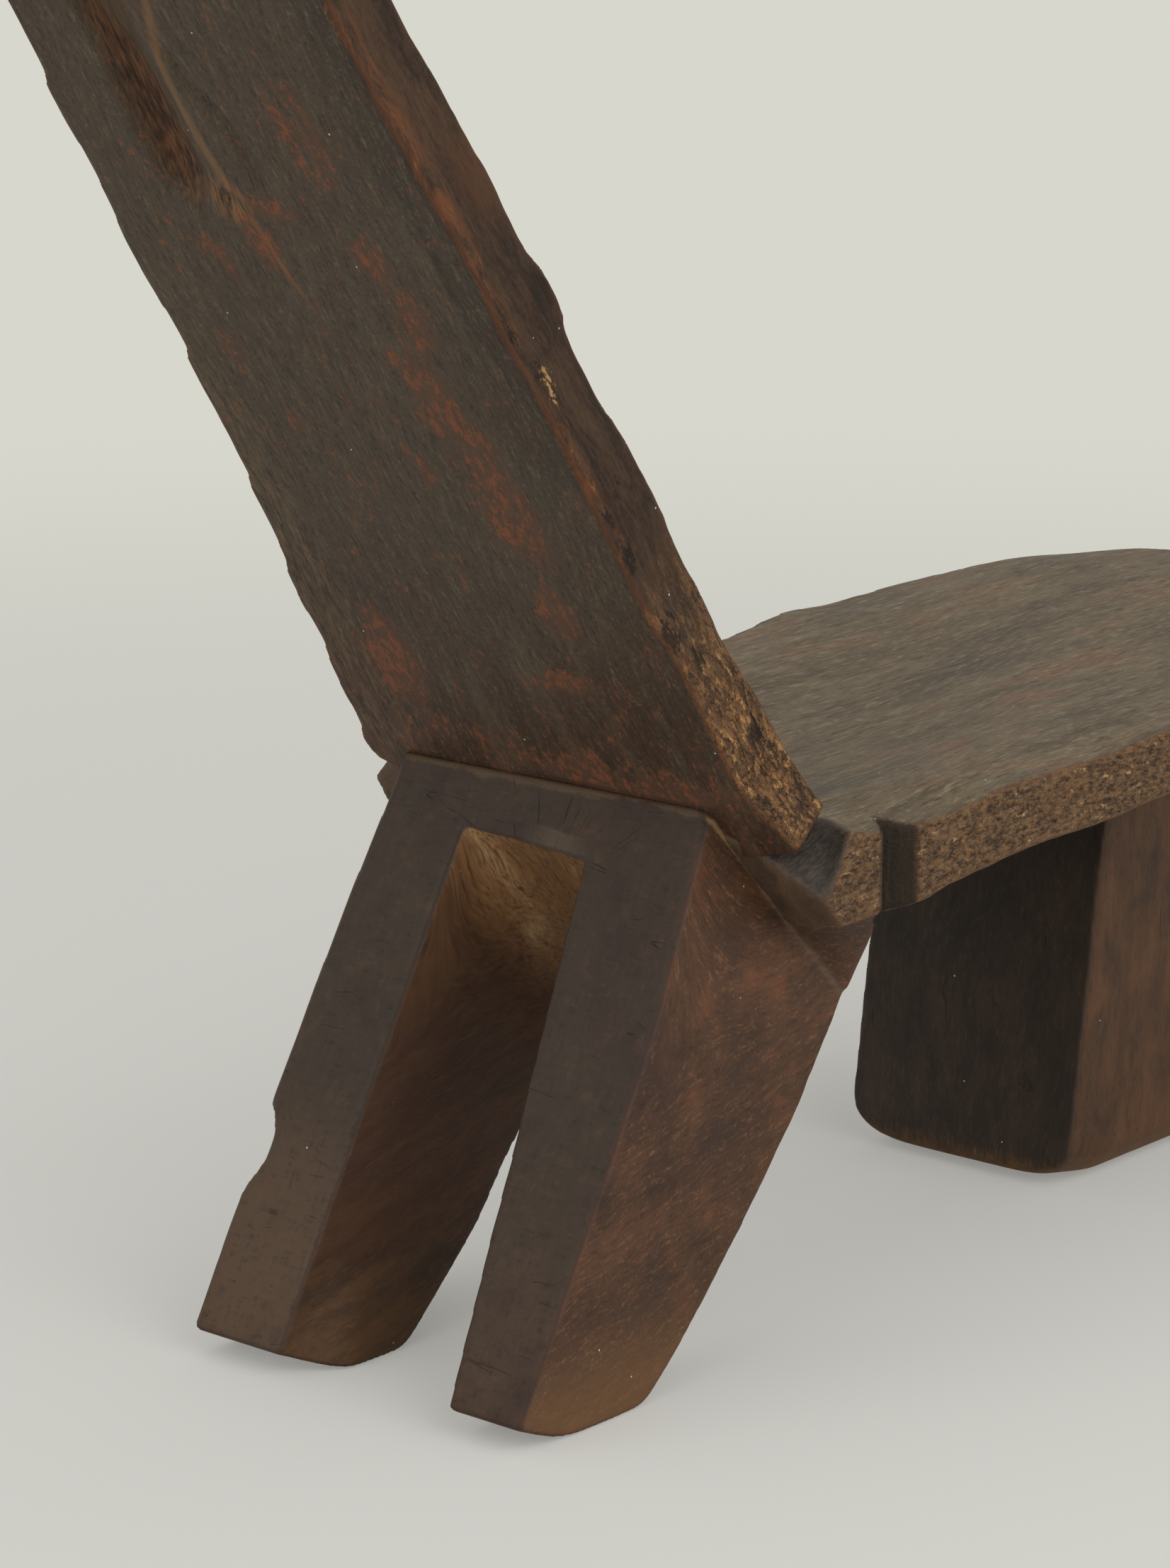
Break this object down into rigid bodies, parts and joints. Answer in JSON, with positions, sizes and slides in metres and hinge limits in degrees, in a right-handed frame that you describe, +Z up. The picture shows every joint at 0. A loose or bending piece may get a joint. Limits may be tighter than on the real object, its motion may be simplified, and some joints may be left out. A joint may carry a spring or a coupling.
{
  "type": "lobi stool",
  "caption": "Low reclining chair-stool carved from one block: tall raked back, long dished seat, slotted raked rear legs, broad front leg.",
  "frame": {"origin": "on the floor, under the middle of the chair's length and width", "axes": "+Z up; the sitter faces -Y, so the seat's front end is at -Y and the leaning back at +Y; +X is the sitter's left"},
  "size_m": [0.292, 0.9314, 0.7511],
  "materials": {
    "back_wood": "satin",
    "seat_wood": "satin",
    "leg_wood": "satin"
  },
  "bodies": {
    "root": {"backrest": "back_wood", "seat": "seat_wood", "seat_lug_left": "seat_wood", "seat_lug_right": "seat_wood", "rear_leg_bridge": "leg_wood", "rear_leg_left": "leg_wood", "rear_leg_right": "leg_wood", "front_leg": "leg_wood"}
  },
  "joints": []
}
